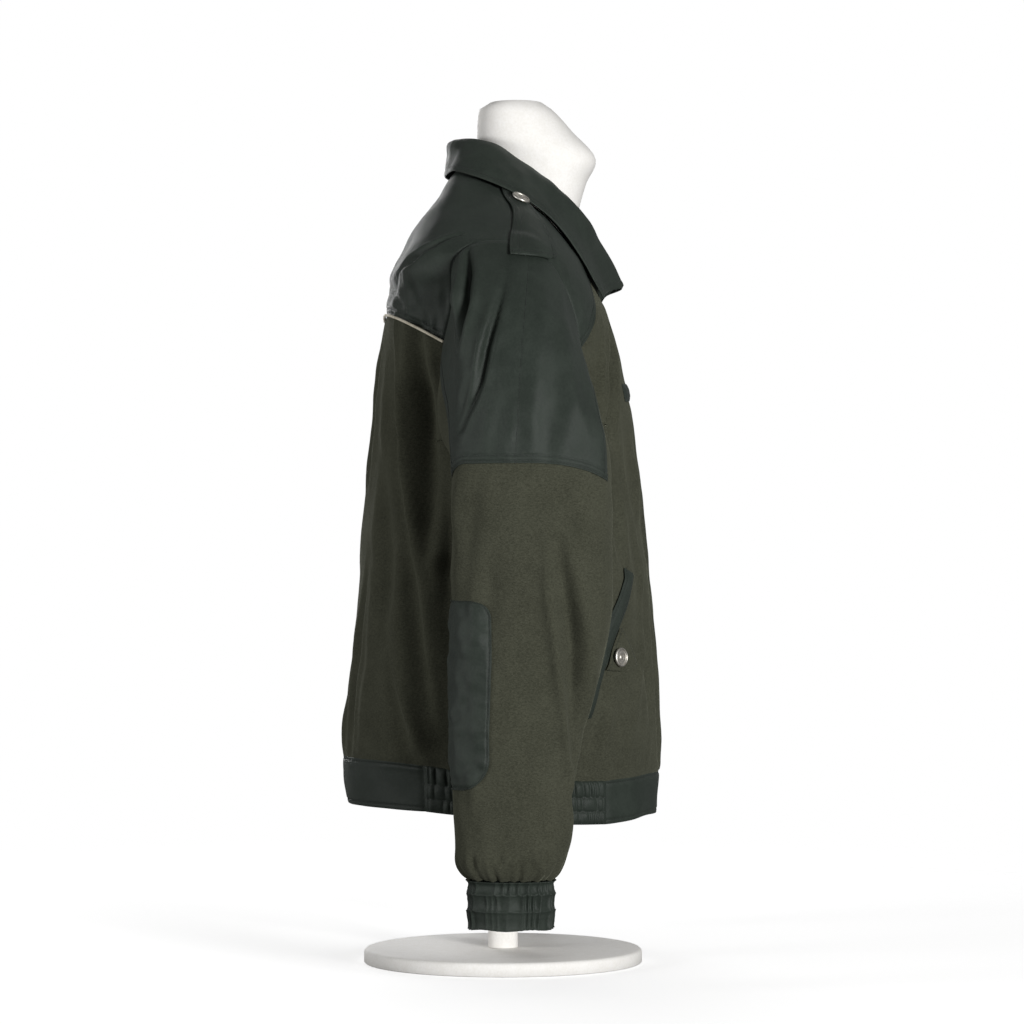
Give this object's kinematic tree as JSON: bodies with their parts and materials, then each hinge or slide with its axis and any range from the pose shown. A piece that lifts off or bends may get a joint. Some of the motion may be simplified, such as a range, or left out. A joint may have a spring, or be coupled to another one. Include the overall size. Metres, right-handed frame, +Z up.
{
  "type": "fleece jacket on a dress form",
  "caption": "Hip-length fleece jacket with smooth woven yokes, collar, cuffs and elastic hem, worn on a limbless dress form that stands on a round foot.",
  "frame": {"origin": "middle of the round foot's underside, on the floor", "axes": "+Z up, the jacket's front faces -Y and the wearer's right is -X"},
  "size_m": [0.6714, 0.3395, 0.9255],
  "materials": {
    "fleece": "short matt pile, dark olive",
    "woven": "smooth dense weave, bottle green",
    "piping": "smooth cream cord",
    "button_metal": "polished silver metal",
    "form": "matt white, faintly grained"
  },
  "bodies": {
    "root": {"back_panel": "fleece", "front_right": "fleece", "front_left": "fleece", "front_fly": "fleece", "sleeve_right": "fleece", "sleeve_left": "fleece", "pocket_tab_right": "fleece", "pocket_tab_left": "fleece", "back_yoke": "woven", "front_yoke_right": "woven", "front_yoke_left": "woven", "sleeve_cap_right": "woven", "sleeve_cap_left": "woven", "elbow_patch_right": "woven", "elbow_patch_left": "woven", "cuff_right": "woven", "cuff_left": "woven", "collar_stand": "woven", "collar_leaf": "woven", "hem_back": "woven", "hem_front_right": "woven", "hem_front_left": "woven", "hem_elastic_right": "woven", "hem_elastic_left": "woven", "shoulder_strap_right": "woven", "shoulder_strap_left": "woven", "pocket_welt_right": "woven", "pocket_welt_left": "woven", "chest_welt_right": "woven", "back_piping": "piping", "strap_button_right": "button_metal", "strap_button_left": "button_metal", "pocket_button_right": "button_metal", "pocket_button_left": "button_metal", "dress_form": "form", "stand_pole": "form", "stand_base": "form"}
  },
  "joints": []
}
